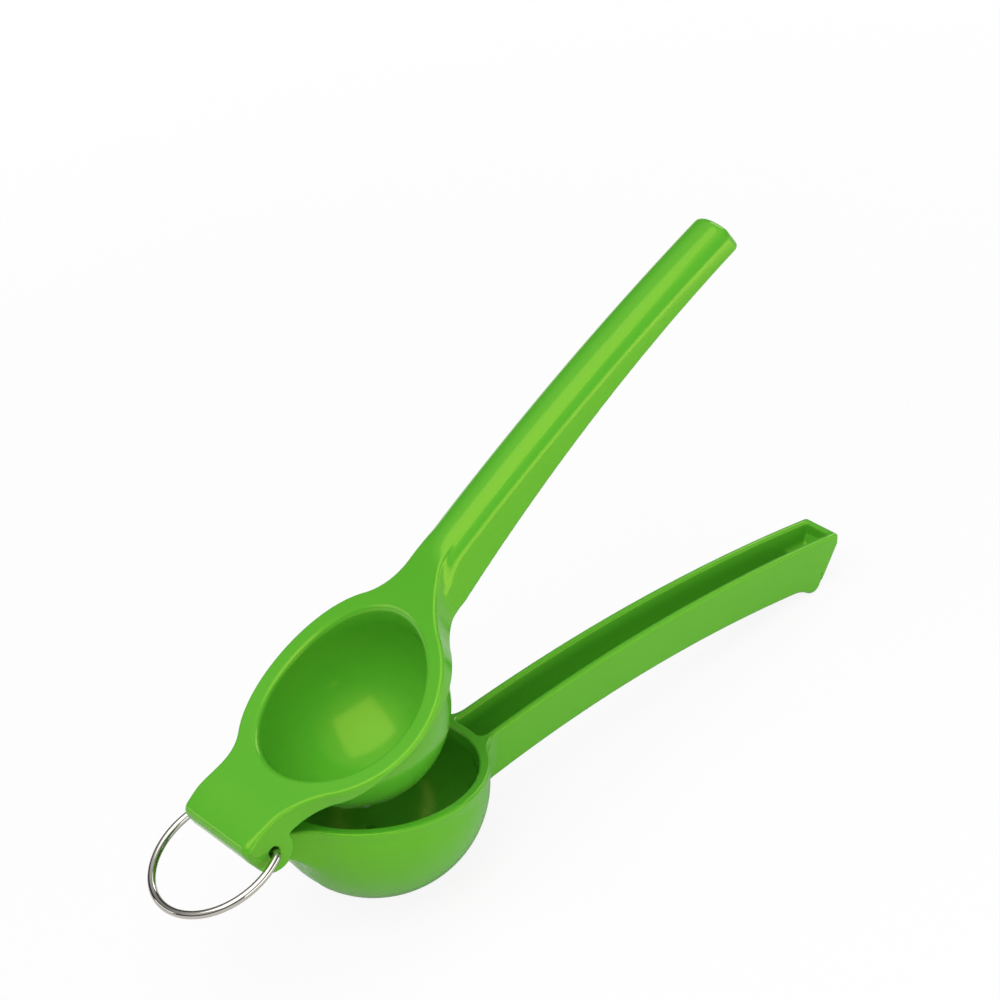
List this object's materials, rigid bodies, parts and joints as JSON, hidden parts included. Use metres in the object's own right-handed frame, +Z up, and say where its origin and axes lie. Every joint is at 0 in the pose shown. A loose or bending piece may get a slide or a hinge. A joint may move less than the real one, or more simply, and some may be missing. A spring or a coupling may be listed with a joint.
{
  "type": "citrus juicer",
  "caption": "Hand-held lever squeezer: a slotted half-ball bowl and a hollow press dome on two hinged cast handles, with a wire hanging ring at the hinge.",
  "frame": {"origin": "the point where the bowl rests on the table, straight under the centre of the bowl's ball", "axes": "+X from the bowl along the handles, +Y across the arms, away from the side that the picture shows, +Z up from the table"},
  "size_m": [0.239, 0.066, 0.1325],
  "materials": {
    "green_enamel_bowl": "cast aluminium under glossy lime-green enamel, a little darker inside the bowl",
    "green_enamel_press": "cast aluminium under glossy lime-green enamel",
    "pin_steel": "drawn steel",
    "polished_wire": "bright polished steel wire"
  },
  "bodies": {
    "bowl_body": {"lower_arm": "green_enamel_bowl", "hinge_pin": "pin_steel"},
    "press_body": {"upper_arm": "green_enamel_press"},
    "ring_body": {"hanging_ring": "polished_wire"}
  },
  "joints": [
    {"name": "press_hinge", "type": "hinge", "parent": "bowl_body", "child": "press_body", "pos_m": [-0.04175, 0, 0.04478], "axis": [0, -1, 0], "range_deg": [-29.9, 70]},
    {"name": "ring_swing", "type": "hinge", "parent": "bowl_body", "child": "ring_body", "pos_m": [-0.04175, 0, 0.04478], "axis": [0, -1, 0], "range_deg": [-75, 90]}
  ]
}
